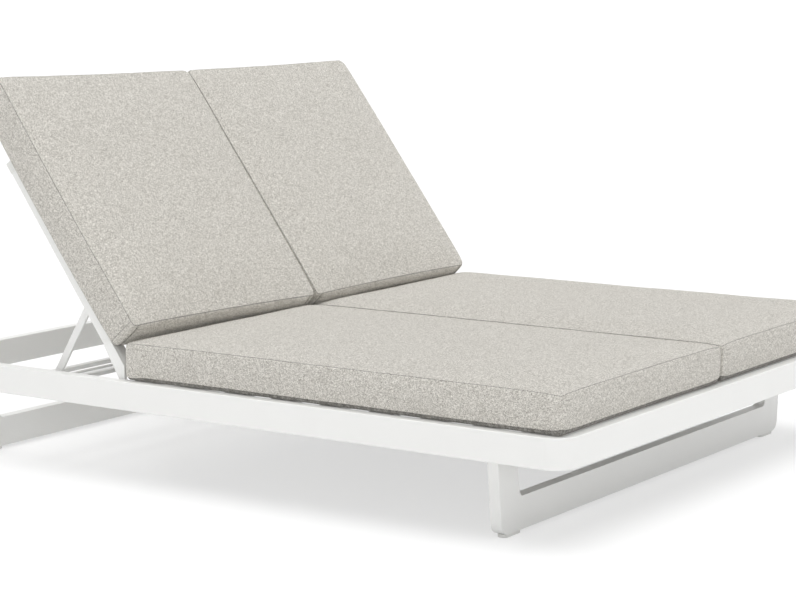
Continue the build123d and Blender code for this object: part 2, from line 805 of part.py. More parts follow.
for side, sign in units.items():
    seat_plane = Plane((sign * cushion_x, seat_cushion_y, frame_top + soft_clearance))
    keep(cushion(seat_plane, seat_cushion_length), f"{side}_seat_cushion")
    back_plane = Plane(
        origin=back_point(sign * cushion_x, back_cushion_reach, back_face + soft_clearance),
        x_dir=(1, 0, 0),
        z_dir=off_back,
    )
    keep(cushion(back_plane, back_cushion_length), f"{side}_back_cushion")
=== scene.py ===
"""A double chaise lounger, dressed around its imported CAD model. Metres.

X runs across, Y from the foot end to the head end, Z up from the floor.
"""

import json
from math import cos, exp, pi, radians, sin

import bpy
import numpy as np
from mathutils import Matrix, Vector, noise


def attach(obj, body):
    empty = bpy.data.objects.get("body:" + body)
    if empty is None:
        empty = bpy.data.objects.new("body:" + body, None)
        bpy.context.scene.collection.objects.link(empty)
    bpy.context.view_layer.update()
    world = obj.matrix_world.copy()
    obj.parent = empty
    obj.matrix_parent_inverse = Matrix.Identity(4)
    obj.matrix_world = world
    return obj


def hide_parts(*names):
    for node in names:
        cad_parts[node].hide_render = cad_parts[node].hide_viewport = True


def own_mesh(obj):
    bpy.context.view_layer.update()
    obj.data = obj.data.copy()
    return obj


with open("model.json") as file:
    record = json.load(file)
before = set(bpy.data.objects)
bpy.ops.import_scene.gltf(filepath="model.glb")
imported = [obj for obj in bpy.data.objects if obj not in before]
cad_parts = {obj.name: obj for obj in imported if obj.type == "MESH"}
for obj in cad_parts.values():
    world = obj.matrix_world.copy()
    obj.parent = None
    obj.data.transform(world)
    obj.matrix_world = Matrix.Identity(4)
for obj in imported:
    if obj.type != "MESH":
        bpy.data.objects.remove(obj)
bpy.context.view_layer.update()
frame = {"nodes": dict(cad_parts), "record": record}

# The frame: rectangular aluminium tube and flat bar, mitred and welded, with
# the welds ground flush, then sprayed with white polyester powder and baked.


def linear(hex_colour):
    """An sRGB hex colour as the linear colour that a shader takes."""
    parts = [int(hex_colour[place : place + 2], 16) / 255 for place in (1, 3, 5)]
    return (
        *(p / 12.92 if p <= 0.04045 else ((p + 0.055) / 1.055) ** 2.4 for p in parts),
        1.0,
    )


def add_node(tree, kind, settings=None, inputs=None):
    """Add a node with its settings, and a value or a link for each input named."""
    node = tree.nodes.new(kind)
    for name, value in (settings or {}).items():
        setattr(node, name, value)
    for name, value in (inputs or {}).items():
        if isinstance(value, bpy.types.NodeSocket):
            tree.links.new(value, node.inputs[name])
        else:
            node.inputs[name].default_value = value
    return node


def finish_material(name, shader_inputs, build):
    """A material with one surface shader; build adds nodes and returns its links."""
    material = bpy.data.materials.new(name)
    material.use_nodes = True
    tree = material.node_tree
    tree.nodes.clear()
    shader = add_node(
        tree, "ShaderNodeBsdfPrincipled", inputs={**shader_inputs, **build(tree)}
    )
    add_node(
        tree, "ShaderNodeOutputMaterial", inputs={"Surface": shader.outputs["BSDF"]}
    )
    return material


# The baked coat has a satin skin with a fine orange peel, 1.2 mm from wave to
# wave. It draws back to a soft line at the sawn edges of flat bar and sheet.
COAT_LIGHT = "#F0F0EE"
COAT_SHADE = "#ECECEA"
COAT_CLOUD = 0.17
COAT_WAVE = 0.0012
COAT_PEEL = 0.00003
COAT_PEEL_STRENGTH = 0.5
COAT_CORNER = 0.0012


def coat_nodes(tree):
    place = add_node(tree, "ShaderNodeTexCoord").outputs["Object"]
    peel = add_node(
        tree,
        "ShaderNodeTexNoise",
        inputs={"Vector": place, "Scale": 1 / COAT_WAVE, "Detail": 1.0},
    )
    cloud = add_node(
        tree,
        "ShaderNodeTexNoise",
        inputs={"Vector": place, "Scale": 1 / COAT_CLOUD, "Detail": 2.0},
    )
    tint = add_node(
        tree,
        "ShaderNodeMix",
        {"data_type": "RGBA"},
        {
            "Factor": cloud.outputs["Fac"],
            "A": linear(COAT_LIGHT),
            "B": linear(COAT_SHADE),
        },
    )
    bump = add_node(
        tree,
        "ShaderNodeBump",
        inputs={
            "Height": peel.outputs["Fac"],
            "Distance": COAT_PEEL,
            "Strength": COAT_PEEL_STRENGTH,
        },
    )
    return {"Base Color": tint.outputs["Result"], "Normal": bump.outputs["Normal"]}


def sawn_coat_nodes(tree):
    links = coat_nodes(tree)
    corner = add_node(
        tree, "ShaderNodeBevel", {"samples": 4}, {"Radius": COAT_CORNER}
    )
    bump = links["Normal"].node
    tree.links.new(corner.outputs["Normal"], bump.inputs["Normal"])
    return links


COAT_SHINE = {"Roughness": 0.36, "IOR": 1.5}
powder_coat = finish_material("white_powder_coat", COAT_SHINE, coat_nodes)
sawn_coat = finish_material("powder_coat_on_sawn_bar", COAT_SHINE, sawn_coat_nodes)


def dress(slot_name, material, endings=("",)):
    """Give CAD nodes of one of the record's material slots a material."""
    for part in frame["record"]["subparts"]:
        if part["material_slot"] == slot_name and part["node"].endswith(endings):
            mesh = frame["nodes"][part["node"]].data
            mesh.materials.clear()
            mesh.materials.append(material)


dress("powder_coated_frame", powder_coat)
dress(
    "powder_coated_frame", sawn_coat, ("_plates", "_arms", "_racks", "_slats", "_ledge")
)

# Fasteners: cold-headed stainless bolts, screws and nuts, left bright, with the
# fine turning and wrench marks that give them a grey, broken shine.
STEEL = "#BDBBB7"
STEEL_ROUGHNESS = (0.22, 0.42)
WRENCH_MARK = 0.0008
WRENCH_DEPTH = 0.00002
WRENCH_STRENGTH = 0.4


def stainless_nodes(tree):
    place = add_node(tree, "ShaderNodeTexCoord").outputs["Object"]
    marks = add_node(
        tree,
        "ShaderNodeTexNoise",
        inputs={"Vector": place, "Scale": 1 / WRENCH_MARK, "Detail": 3.0},
    ).outputs["Fac"]
    rough = add_node(
        tree,
        "ShaderNodeMapRange",
        inputs={
            "Value": marks,
            "To Min": STEEL_ROUGHNESS[0],
            "To Max": STEEL_ROUGHNESS[1],
        },
    )
    bump = add_node(
        tree,
        "ShaderNodeBump",
        inputs={
            "Height": marks,
            "Distance": WRENCH_DEPTH,
            "Strength": WRENCH_STRENGTH,
        },
    )
    return {"Roughness": rough.outputs["Result"], "Normal": bump.outputs["Normal"]}


stainless = finish_material(
    "stainless_steel",
    {"Base Color": linear(STEEL), "Metallic": 1.0},
    stainless_nodes,
)
dress("fastener_steel", stainless)

# Moulded parts: white nylon glides and tube plugs, black acetal bushes and
# washers, and black rubber buffers. Each has the fine spark grain of its mould.
MOULD_GRAIN = 0.0006
MOULD_GRAIN_STRENGTH = 0.6


def moulded(name, colour, shade, roughness, grain_depth):
    """A moulded plastic or rubber, from its two near colours and its grain."""

    def nodes(tree):
        place = add_node(tree, "ShaderNodeTexCoord").outputs["Object"]
        grain = add_node(
            tree,
            "ShaderNodeTexNoise",
            inputs={"Vector": place, "Scale": 1 / MOULD_GRAIN, "Detail": 2.0},
        ).outputs["Fac"]
        tint = add_node(
            tree,
            "ShaderNodeMix",
            {"data_type": "RGBA"},
            {"Factor": grain, "A": linear(colour), "B": linear(shade)},
        )
        bump = add_node(
            tree,
            "ShaderNodeBump",
            inputs={
                "Height": grain,
                "Distance": grain_depth,
                "Strength": MOULD_GRAIN_STRENGTH,
            },
        )
        return {
            "Base Color": tint.outputs["Result"],
            "Normal": bump.outputs["Normal"],
        }

    return finish_material(name, {"Roughness": roughness, "IOR": 1.5}, nodes)


white_nylon = moulded(
    "white_nylon", "#E9E9E6", "#E2E2DF", roughness=0.5, grain_depth=0.00003
)
black_acetal = moulded(
    "black_acetal", "#242424", "#1C1C1C", roughness=0.38, grain_depth=0.00002
)
black_rubber = moulded(
    "black_rubber", "#202020", "#2A2A29", roughness=0.75, grain_depth=0.00005
)
dress("white_plastic", white_nylon)
dress("bearing_plastic", black_acetal)
dress("buffer_rubber", black_rubber)

# Tube plugs: white nylon caps pressed into the open ends of the backrest's
# tubes, with a rounded rim that covers the cut end.
PLUG_RIM = 0.0008
PLUG_SOFTNESS = 0.0003
SOFT_EDGE_STEPS = 3

# The backrest's hinge line and its slope at rest, as in the part's source. A
# backrest's own axes are across, up its length and off its front.
HINGE_Y = 0.282
HINGE_Z = 0.236
SLOPE = radians(54)
BAR_WIDTH = 0.030
BAR_REAR = -0.003
BAR_FRONT = 0.030
BAR_START = 0.060
BAR_ENDS = {"outer": 0.738, "inner": 0.032}
BACK_LENGTH = 0.677
SIDES = {"left": -1, "right": 1}
back_axes = Matrix(
    (
        (1, 0, 0, 0),
        (0, cos(SLOPE), -sin(SLOPE), HINGE_Y),
        (0, sin(SLOPE), cos(SLOPE), HINGE_Z),
        (0, 0, 0, 1),
    )
)


def add_mesh(name, points, faces, material):
    """A mesh object from points and faces, with one material and smooth shading."""
    mesh = bpy.data.meshes.new(name)
    mesh.from_pydata([tuple(p) for p in points], [], faces)
    mesh.validate()
    mesh.materials.append(material)
    mesh.shade_smooth()
    piece = bpy.data.objects.new(name, mesh)
    bpy.context.scene.collection.objects.link(piece)
    return piece


def soft_block(name, low, high, axes, softness, material):
    """A box between two corners in a set of axes, with rounded edges."""
    points = [
        axes @ Vector((x, y, z))
        for x in (low[0], high[0])
        for y in (low[1], high[1])
        for z in (low[2], high[2])
    ]
    faces = [
        (0, 1, 3, 2),
        (4, 6, 7, 5),
        (0, 4, 5, 1),
        (2, 3, 7, 6),
        (0, 2, 6, 4),
        (1, 5, 7, 3),
    ]
    piece = add_mesh(name, points, faces, material)
    bevel = piece.modifiers.new("soft_edges", "BEVEL")
    bevel.width = softness
    bevel.segments = SOFT_EDGE_STEPS
    bevel.harden_normals = True
    return piece


for side, sign in SIDES.items():
    for place, distance in BAR_ENDS.items():
        out = sign if place == "outer" else -sign
        bar_edge = sign * distance
        for name, span, start, end in (
            (
                "top",
                (bar_edge, bar_edge + out * PLUG_RIM),
                BACK_LENGTH - BAR_WIDTH,
                BACK_LENGTH,
            ),
            (
                "foot",
                (bar_edge, bar_edge - out * BAR_WIDTH),
                BAR_START - PLUG_RIM,
                BAR_START,
            ),
        ):
            plug = soft_block(
                f"{side}_{place}_{name}_plug",
                (min(span), start, BAR_REAR),
                (max(span), end, BAR_FRONT),
                back_axes,
                PLUG_SOFTNESS,
                white_nylon,
            )
            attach(plug, f"{side}_back")

# Cushions: foam blocks in sewn covers of solution-dyed acrylic, with a top and a
# bottom panel and a boxing strip between them. The zip panel at one end is joined
# to the strip by a seam near each corner.

# The cloth is a basket weave of mottled yarns, the warp paler than the weft, in
# pairs about 1.2 mm wide. The pairs are drawn 1.6 mm wide, to show at all.
PAIR_WIDTH = 0.0016
SLUB_LENGTH = 0.0034
YARN_DARK = "#837E75"
YARN_LIGHT = "#F6F3EC"
WARP_SHARE = 0.25
WEAVE_DEPTH = 0.0005
WEAVE_STRENGTH = 0.4
# HOLLOW_SHADES are painted shade in the weave's hollows and painted light on its rises
HOLLOW_SHADES = (0.90, 1.04)
LIE_LENGTH = 0.15
LIE_SHADES = (0.98, 1.02)
# The STITCH and GROOVE values paint shade along a seam's groove, broken up along it
STITCH_LENGTH = 0.011
STITCH_NOISE = (0.3, 0.7)
STITCH_LEAST = 0.8
GROOVE_MARKS = (0.35, 0.95)
GROOVE_SHADE = 0.30


def cloth_nodes(tree):
    weave = add_node(tree, "ShaderNodeUVMap", {"uv_map": "weave"}).outputs["UV"]
    pairs = add_node(
        tree,
        "ShaderNodeVectorMath",
        {"operation": "SCALE"},
        {"Vector": weave, "Scale": 1 / PAIR_WIDTH},
    ).outputs["Vector"]
    cell = add_node(
        tree, "ShaderNodeVectorMath", {"operation": "FLOOR"}, {"Vector": pairs}
    ).outputs["Vector"]

    # The cloth's relief: pairs rise over each other in turn, like a chessboard
    turn = add_node(
        tree, "ShaderNodeVectorMath", {"operation": "SCALE"}, {0: pairs, "Scale": pi}
    ).outputs["Vector"]
    wave = add_node(
        tree, "ShaderNodeVectorMath", {"operation": "SINE"}, {0: turn}
    ).outputs["Vector"]
    wave = add_node(
        tree, "ShaderNodeVectorMath", {"operation": "ABSOLUTE"}, {0: wave}
    ).outputs["Vector"]
    rise = add_node(tree, "ShaderNodeSeparateXYZ", inputs={"Vector": wave})
    crossing = add_node(
        tree,
        "ShaderNodeVectorMath",
        {"operation": "DOT_PRODUCT"},
        {0: cell, 1: (1.0, 1.0, 0.0)},
    ).outputs["Value"]
    over = add_node(
        tree, "ShaderNodeMath", {"operation": "MODULO"}, {0: crossing, 1: 2.0}
    ).outputs["Value"]
    height = add_node(
        tree,
        "ShaderNodeMix",
        inputs={"Factor": over, "A": rise.outputs["X"], "B": rise.outputs["Y"]},
    ).outputs["Result"]

    # The colour of each pair changes every few millimetres along its own length
    slub = add_node(
        tree,
        "ShaderNodeVectorMath",
        {"operation": "SCALE"},
        {"Vector": weave, "Scale": 1 / SLUB_LENGTH},
    ).outputs["Vector"]
    slub = add_node(
        tree, "ShaderNodeVectorMath", {"operation": "FLOOR"}, {"Vector": slub}
    ).outputs["Vector"]
    cell_of = add_node(tree, "ShaderNodeSeparateXYZ", inputs={"Vector": cell})
    slub_of = add_node(tree, "ShaderNodeSeparateXYZ", inputs={"Vector": slub})
    yarns = []
    for number, (pair, run) in enumerate((("X", "Y"), ("Y", "X"))):
        spot = add_node(
            tree,
            "ShaderNodeCombineXYZ",
            inputs={
                "X": cell_of.outputs[pair],
                "Y": slub_of.outputs[run],
                "Z": float(number),
            },
        )
        spun = add_node(
            tree,
            "ShaderNodeTexWhiteNoise",
            {"noise_dimensions": "3D"},
            {"Vector": spot.outputs["Vector"]},
        )
        yarns.append(spun.outputs["Value"])
    tone = add_node(
        tree,
        "ShaderNodeMix",
        inputs={"Factor": over, "A": yarns[0], "B": yarns[1]},
    ).outputs["Result"]
    tone = add_node(
        tree,
        "ShaderNodeMix",
        inputs={"Factor": WARP_SHARE, "A": tone, "B": over},
    ).outputs["Result"]
    colour = add_node(
        tree,
        "ShaderNodeMix",
        {"data_type": "RGBA"},
        {"Factor": tone, "A": linear(YARN_DARK), "B": linear(YARN_LIGHT)},
    ).outputs["Result"]

    # Faint painted shade from how the cloth lies, painted shade in the hollows
    # between the pairs and painted light on their rises, and painted shade for the
    # shadowed groove that the stitches pull in at a seam
    lie = add_node(
        tree,
        "ShaderNodeTexNoise",
        inputs={"Vector": weave, "Scale": 1 / LIE_LENGTH, "Detail": 2.0},
    ).outputs["Fac"]
    lie = add_node(
        tree,
        "ShaderNodeMapRange",
        inputs={"Value": lie, "To Min": LIE_SHADES[0], "To Max": LIE_SHADES[1]},
    ).outputs["Result"]
    hollow_shade = add_node(
        tree,
        "ShaderNodeMapRange",
        inputs={
            "Value": height,
            "To Min": HOLLOW_SHADES[0],
            "To Max": HOLLOW_SHADES[1],
        },
    ).outputs["Result"]
    seam = add_node(tree, "ShaderNodeAttribute", {"attribute_name": "seam"})
    stitch = add_node(
        tree,
        "ShaderNodeTexNoise",
        inputs={"Vector": weave, "Scale": 1 / STITCH_LENGTH, "Detail": 1.0},
    ).outputs["Fac"]
    stitch = add_node(
        tree,
        "ShaderNodeMapRange",
        inputs={
            "Value": stitch,
            "From Min": STITCH_NOISE[0],
            "From Max": STITCH_NOISE[1],
            "To Min": STITCH_LEAST,
        },
    ).outputs["Result"]
    groove_shade = add_node(
        tree,
        "ShaderNodeMath",
        {"operation": "MULTIPLY"},
        {0: seam.outputs["Fac"], 1: stitch},
    ).outputs["Value"]
    groove_shade = add_node(
        tree,
        "ShaderNodeMapRange",
        {"interpolation_type": "SMOOTHSTEP"},
        {
            "Value": groove_shade,
            "From Min": GROOVE_MARKS[0],
            "From Max": GROOVE_MARKS[1],
            "To Min": 1.0,
            "To Max": GROOVE_SHADE,
        },
    ).outputs["Result"]
    shade = lie
    for part in (hollow_shade, groove_shade):
        shade = add_node(
            tree, "ShaderNodeMath", {"operation": "MULTIPLY"}, {0: shade, 1: part}
        ).outputs["Value"]
    # The yarns' colour, with the painted shade laid over it
    dyed_and_shaded = add_node(
        tree,
        "ShaderNodeVectorMath",
        {"operation": "SCALE"},
        {"Vector": colour, "Scale": shade},
    )
    bump = add_node(
        tree,
        "ShaderNodeBump",
        inputs={
            "Height": height,
            "Distance": WEAVE_DEPTH,
            "Strength": WEAVE_STRENGTH,
        },
    )
    return {"Base Color": dyed_and_shaded.outputs["Vector"], "Normal": bump.outputs["Normal"]}


cloth = finish_material(
    "basket_weave_acrylic",
    {
        "Roughness": 0.92,
        "Specular IOR Level": 0.25,
        "Sheen Weight": 0.1,
        "Sheen Roughness": 0.5,
    },
    cloth_nodes,
)

# The cover's panels: the top one crowns from its seam, with a soft shoulder beside
# the seam and slack corners. The bottom one's edge rolls up to its own seam, whose
# height changes over LIFT_RUN from the zip end and rises at the corners.
SEAM_TOP = 0.0945
CROWN = 0.0105
CROWN_REACH = 0.16
SHOULDER = 0.0022
SHOULDER_REACH = 0.007
CORNER_DIP = 0.0045
CORNER_RISE = 0.006
CORNER_REACH = 0.025
EDGE_ROLL = 0.007
LIFT_RUN = 0.07

# Seen from above, the ends are drawn in halfway, and the side beside a neighbour
# wanders a little. The seams are pulled in, and stray up and down in long waves,
# the bottom one mostly up. SEED_STEP keeps the cushions' waves apart.
DRAW_IN = 0.0035
DRAW_FALL = 3
NEIGHBOUR_STRAY = 0.0008
NEIGHBOUR_WAVE = 0.12
SEAM_PULL = 0.0011
PULL_FALL = 9
SEAM_STRAY = 0.0009
SEAM_WAVE = 0.11
BOTTOM_STRAY = 0.0004
SEED_STEP = 7.3

# The boxing bulges unevenly between its two seams, and less beside a neighbour.
# Its waves are worked out as if it were 1 / BOXING_STRETCH metres high. The zip
# panel has a bulge of its own, which grows over ZIP_RUN from each corner.
BOXING_HEIGHT = 0.089
BOXING_MIDDLE = 0.5
BOXING_SHARES = [0, 0.028, 0.075, 0.16, 0.28, 0.4, 0.474, BOXING_MIDDLE]
BOXING_SHARES += [1 - share for share in reversed(BOXING_SHARES[:-1])]
BOXING_BULGE = 0.0028
BOXING_ROUNDNESS = 0.6
BOXING_UNEVENNESS = 0.35
BOXING_WAVE = 0.07
BOXING_STRETCH = 6
INNER_BULGE = 0.0011
ZIP_RUN = 0.05

# Sewn lines in the boxing: how far each lies from its corner, how deep it is drawn
# in and how dark the shade painted along its groove is. A zip panel's seam also
# draws in the cloth SEAM_SIDE away. SEAM_CREASE keeps a seam sharp when the cover
# is smoothed, LINE_HOLD holds the boxing's lines as it swells, and SEAM_ROLL is the
# width of a bottom's rolled edge, which is painted in shade.
SEAM_MARK = 1.0
SEAM_SIDE = 0.0024
SEAM_CREASE = 0.9
SEAM_ROLL = 0.007
LINE_HOLD = 0.6
ZIP_SEAM_INSET = 0.022
ZIP_SEAM_DEPTH = 0.006
ZIP_SEAM_SIDE_DEPTH = ZIP_SEAM_DEPTH / 3
ZIP_SEAM_SIDE_MARK = 0.5
ZIP_DEPTH = 0.0008
ZIP_MARK = 0.6
CORNER_SEAM_INSET = 0.0145
CORNER_SEAM_DEPTH = 0.0014
CORNER_SEAM_MARK = 0.9

# The mesh: its widest step, its lines near the sides and the ends, and where in
# the cloth the panels are cut, apart from the boxing
GRID = 0.0125
SIDE_INSETS = (SEAM_SIDE, 0.0062, 0.0125)
END_INSETS = (SEAM_SIDE, 0.0062, 0.0225)
ON_LINE = 1e-6
PANEL_CLOTH_X = 3
PANEL_CLOTH_Y = 5


def grid_lines(half, insets, seam_inset):
    """Grid lines from -half to half, closer beside the ends and beside a seam."""
    close = set(insets) | {0.0}
    close |= {seam_inset + step for step in (-SEAM_SIDE, 0, SEAM_SIDE)}
    ends = {half - inset for inset in close} | {inset - half for inset in close}
    places = sorted(ends)
    filled = [places[0]]
    for place in places[1:]:
        start = filled[-1]
        count = max(1, round((place - start) / GRID))
        filled += [start + (place - start) * n / count for n in range(1, count)]
        filled.append(place)
    return filled


def edge_walk(last_x, last_y):
    """The grid places along the edge, once round."""
    walk = [(i, 0) for i in range(last_x)]
    walk += [(last_x, j) for j in range(last_y)]
    walk += [(i, last_y) for i in range(last_x, 0, -1)]
    walk += [(0, j) for j in range(last_y, 0, -1)]
    return walk


def panel_faces(layer, xs, ys, flip):
    """A panel's faces, and where in the cloth the corners of each lie."""
    faces, uvs = [], []
    for i in range(len(xs) - 1):
        for j in range(len(ys) - 1):
            ring = [(i, j), (i + 1, j), (i + 1, j + 1), (i, j + 1)]
            if flip:
                ring.reverse()
            faces.append([layer[p] for p in ring])
            uvs.append(
                [(xs[a] + PANEL_CLOTH_X, ys[b] + PANEL_CLOTH_Y) for a, b in ring]
            )
    return faces, uvs


def ease(value):
    """A smooth step from 0 to 1."""
    value = min(1.0, max(0.0, value))
    return value * value * (3 - 2 * value)


def towards(value, amount):
    """An amount with the sign of a value, for one side of a cushion or the other."""
    return amount if value > 0 else -amount


def rounded(x, y, half_width, half_length, corner):
    """Turn the grid's square corners into the cover's rounded ones."""
    over_x = abs(x) - (half_width - corner)
    over_y = abs(y) - (half_length - corner)
    if over_x <= 0 or over_y <= 0:
        return x, y
    if over_x >= over_y:
        reach, turn = over_x, pi / 4 * over_y / over_x
    else:
        reach, turn = over_y, pi / 2 - pi / 4 * over_x / over_y
    new_x = half_width - corner + reach * cos(turn)
    new_y = half_length - corner + reach * sin(turn)
    return towards(x, new_x), towards(y, new_y)


def way_out(x, y, spot, half_width, half_length, corner):
    """The direction out of the cover at a spot of its outline."""
    flat_x, flat_y = half_width - corner, half_length - corner
    if abs(x) > flat_x and abs(y) > flat_y:
        return (spot - Vector((towards(x, flat_x), towards(y, flat_y)))).normalized()
    if abs(y) <= flat_y:
        return Vector((towards(x, 1), 0))
    return Vector((0, towards(y, 1)))


def cushion_cover(
    name,
    inner,
    seed,
    width,
    length,
    zip_end,
    lift,
    corners,
    zip_bulge,
    side_full,
    slant,
    roll_mark,
    corner_seams,
):
    """A cover on its foam, and how firmly each of its points is held as it swells.

    It has x across, y along and z up from what it lies on. inner is the side of
    its neighbour and side_full how far the other side stands out halfway. zip_end
    is the end with the zip panel: zip_bulge is that panel's bulge, slant how far
    its bottom leans out, and corner_seams says whether the sides have a seam near
    it. lift is the bottom seam's height at that end and elsewhere, corners are the
    radii at the open end and at the zip end, and roll_mark is how much shade is
    painted along the bottom panel's rolled edge.
    """
    half_width, half_length = width / 2, length / 2
    zip_seam = half_width - ZIP_SEAM_INSET
    corner_seam = half_length - CORNER_SEAM_INSET
    xs = grid_lines(half_width, SIDE_INSETS, ZIP_SEAM_INSET)
    ys = grid_lines(half_length, END_INSETS, CORNER_SEAM_INSET)
    last_x, last_y = len(xs) - 1, len(ys) - 1
    points, seam, pinned = [], [], []

    def wander(s, t, size):
        return noise.noise(Vector((s / size, t / size, seed * SEED_STEP)))

    def outline(x, y):
        """Where a grid place lies in plan, once its end and side are drawn in."""
        corner = corners[y * zip_end > 0]
        px, py = rounded(x, y, half_width, half_length, corner)
        belly_x = 1 - (y / half_length) ** 2
        belly_y = 1 - (x / half_width) ** 2
        if x * inner > 0:
            side_move = NEIGHBOUR_STRAY * wander(y, 0, NEIGHBOUR_WAVE)
        else:
            side_move = side_full
        px += towards(x, side_move) * belly_x * (abs(x) / half_width) ** DRAW_FALL
        py -= towards(y, DRAW_IN) * belly_y * (abs(y) / half_length) ** DRAW_FALL
        return px, py

    def seam_bottom(y):
        share = ease((half_length - y * zip_end) / LIFT_RUN)
        return lift[0] + (lift[1] - lift[0]) * share

    def top_z(dx, dy):
        dome = sin(pi / 2 * min(1, dx / CROWN_REACH))
        dome *= sin(pi / 2 * min(1, dy / CROWN_REACH))
        shoulder = (1 - exp(-dx / SHOULDER_REACH)) * (1 - exp(-dy / SHOULDER_REACH))
        slack = CORNER_DIP * exp(-(dx + dy) / CORNER_REACH)
        return SEAM_TOP + CROWN * dome + SHOULDER * shoulder - slack

    def seam_low(y, dx, dy):
        return seam_bottom(y) + CORNER_RISE * exp(-(dx + dy) / CORNER_REACH)

    def bottom_z(y, dx, dy):
        return seam_low(y, dx, dy) * (1 - ease(dx / EDGE_ROLL) * ease(dy / EDGE_ROLL))

    def boxing_line(x, y, share, at_end, at_side):
        """How deep a sewn line is on the boxing, and how much shade is painted along
        it.
        """
        from_zip_seam = abs(abs(x) - zip_seam)
        if at_end and from_zip_seam < ON_LINE:
            return ZIP_SEAM_DEPTH, SEAM_MARK
        if at_end and from_zip_seam < SEAM_SIDE + ON_LINE:
            return ZIP_SEAM_SIDE_DEPTH, ZIP_SEAM_SIDE_MARK
        if at_end and abs(x) < zip_seam and share == BOXING_MIDDLE:
            return ZIP_DEPTH, ZIP_MARK
        if corner_seams and at_side and abs(y - zip_end * corner_seam) < ON_LINE:
            return CORNER_SEAM_DEPTH, CORNER_SEAM_MARK
        return 0.0, 0.0

    # The two panels, each with a seam along its edge
    top, bottom = {}, {}
    for i, x in enumerate(xs):
        for j, y in enumerate(ys):
            px, py = outline(x, y)
            dx, dy = half_width - abs(x), half_length - abs(y)
            edge = i in (0, last_x) or j in (0, last_y)
            for layer, z in ((top, top_z(dx, dy)), (bottom, bottom_z(y, dx, dy))):
                layer[i, j] = len(points)
                mark = 0.0
                point = [px, py, z]
                if edge:
                    mark = SEAM_MARK
                    stray = SEAM_STRAY * wander(x + y, x - y, SEAM_WAVE)
                    if layer is bottom:
                        stray = min(stray, BOTTOM_STRAY) + BOTTOM_STRAY
                    point = [
                        px - SEAM_PULL * (px / half_width) ** PULL_FALL,
                        py - SEAM_PULL * (py / half_length) ** PULL_FALL,
                        z + stray,
                    ]
                # Painted shade along the bottom panel's rolled edge
                elif layer is bottom and min(dx, dy) < SEAM_ROLL:
                    mark = roll_mark
                points.append(point)
                seam.append(mark)
                pinned.append(1.0 if edge or layer is bottom else 0.0)
    faces, uvs = panel_faces(top, xs, ys, flip=False)
    bottom_faces, bottom_uvs = panel_faces(bottom, xs, ys, flip=True)
    faces += bottom_faces
    uvs += bottom_uvs

    # The boxing, column by column round the outline
    columns, run, previous = [], 0.0, None
    for i, j in edge_walk(last_x, last_y):
        x, y = xs[i], ys[j]
        dx, dy = half_width - abs(x), half_length - abs(y)
        spot = Vector(outline(x, y))
        if previous is not None:
            run += (spot - previous).length
        previous = spot
        corner = corners[y * zip_end > 0]
        out = way_out(x, y, spot, half_width, half_length, corner)
        at_end = y * zip_end > 0 and dy < ON_LINE
        at_side = dx < ON_LINE
        bulge = INNER_BULGE if at_side and x * inner > 0 else BOXING_BULGE
        if at_end:
            bulge += (zip_bulge - BOXING_BULGE) * ease(dx / ZIP_RUN)
        low, high = seam_low(y, dx, dy), top_z(dx, dy)
        column = []
        for share in BOXING_SHARES:
            if share in (0, 1):
                column.append((top if share else bottom)[i, j])
                continue
            wave = wander(run, share / BOXING_STRETCH, BOXING_WAVE)
            fullness = sin(pi * share) ** BOXING_ROUNDNESS + BOXING_UNEVENNESS * wave
            depth, mark = boxing_line(x, y, share, at_end, at_side)
            stands = bulge * fullness - depth
            column.append(len(points))
            points.append(
                [
                    spot.x + out.x * stands,
                    spot.y + out.y * stands,
                    low + (high - low) * share,
                ]
            )
            seam.append(mark)
            pinned.append(LINE_HOLD if mark else 0.0)
        columns.append((column, run))
    whole = run + (Vector(points[columns[0][0][0]][:2]) - previous).length
    columns.append((columns[0][0], whole))
    for (column, start), (following, end) in zip(columns, columns[1:]):
        for k, shares in enumerate(zip(BOXING_SHARES, BOXING_SHARES[1:])):
            faces.append([column[k], following[k], following[k + 1], column[k + 1]])
            low, high = (BOXING_HEIGHT * share for share in shares)
            uvs.append([(start, low), (end, low), (end, high), (start, high)])

    for point in points:
        share = ease(point[1] * zip_end / half_length) * (1 - point[2] / SEAM_TOP)
        point[1] += zip_end * slant * share
    cover = add_mesh(name, points, faces, cloth)
    mesh = cover.data
    weave = mesh.uv_layers.new(name="weave")
    weave.data.foreach_set("uv", np.array(uvs, dtype=np.float32).ravel())
    # The marks go to the material, which paints shade along the sewn lines
    line = mesh.attributes.new("seam", "FLOAT", "POINT")
    line.data.foreach_set("value", seam)
    crease = mesh.attributes.new("crease_edge", "FLOAT", "EDGE")
    sharp = [
        SEAM_CREASE if all(seam[v] == SEAM_MARK for v in e.vertices) else 0.0
        for e in mesh.edges
    ]
    crease.data.foreach_set("value", sharp)
    return cover, pinned


# The foam swells each cover against its seams: air pressure in a cloth whose
# seams and underside are held stands for it. A neighbour stops the inner side.
SWELL_FRAMES = 16
SWELL_LIMIT = 0.0045
SWELL_PRESSURE = 3.0
NEIGHBOUR_ROOM = 0.0018
CLOTH_QUALITY = 5
CLOTH_MASS = 0.3
CLOTH_STRETCH = 18
CLOTH_SHEAR = 8
CLOTH_BEND = 1.5
NO_MOVE = 1e-9


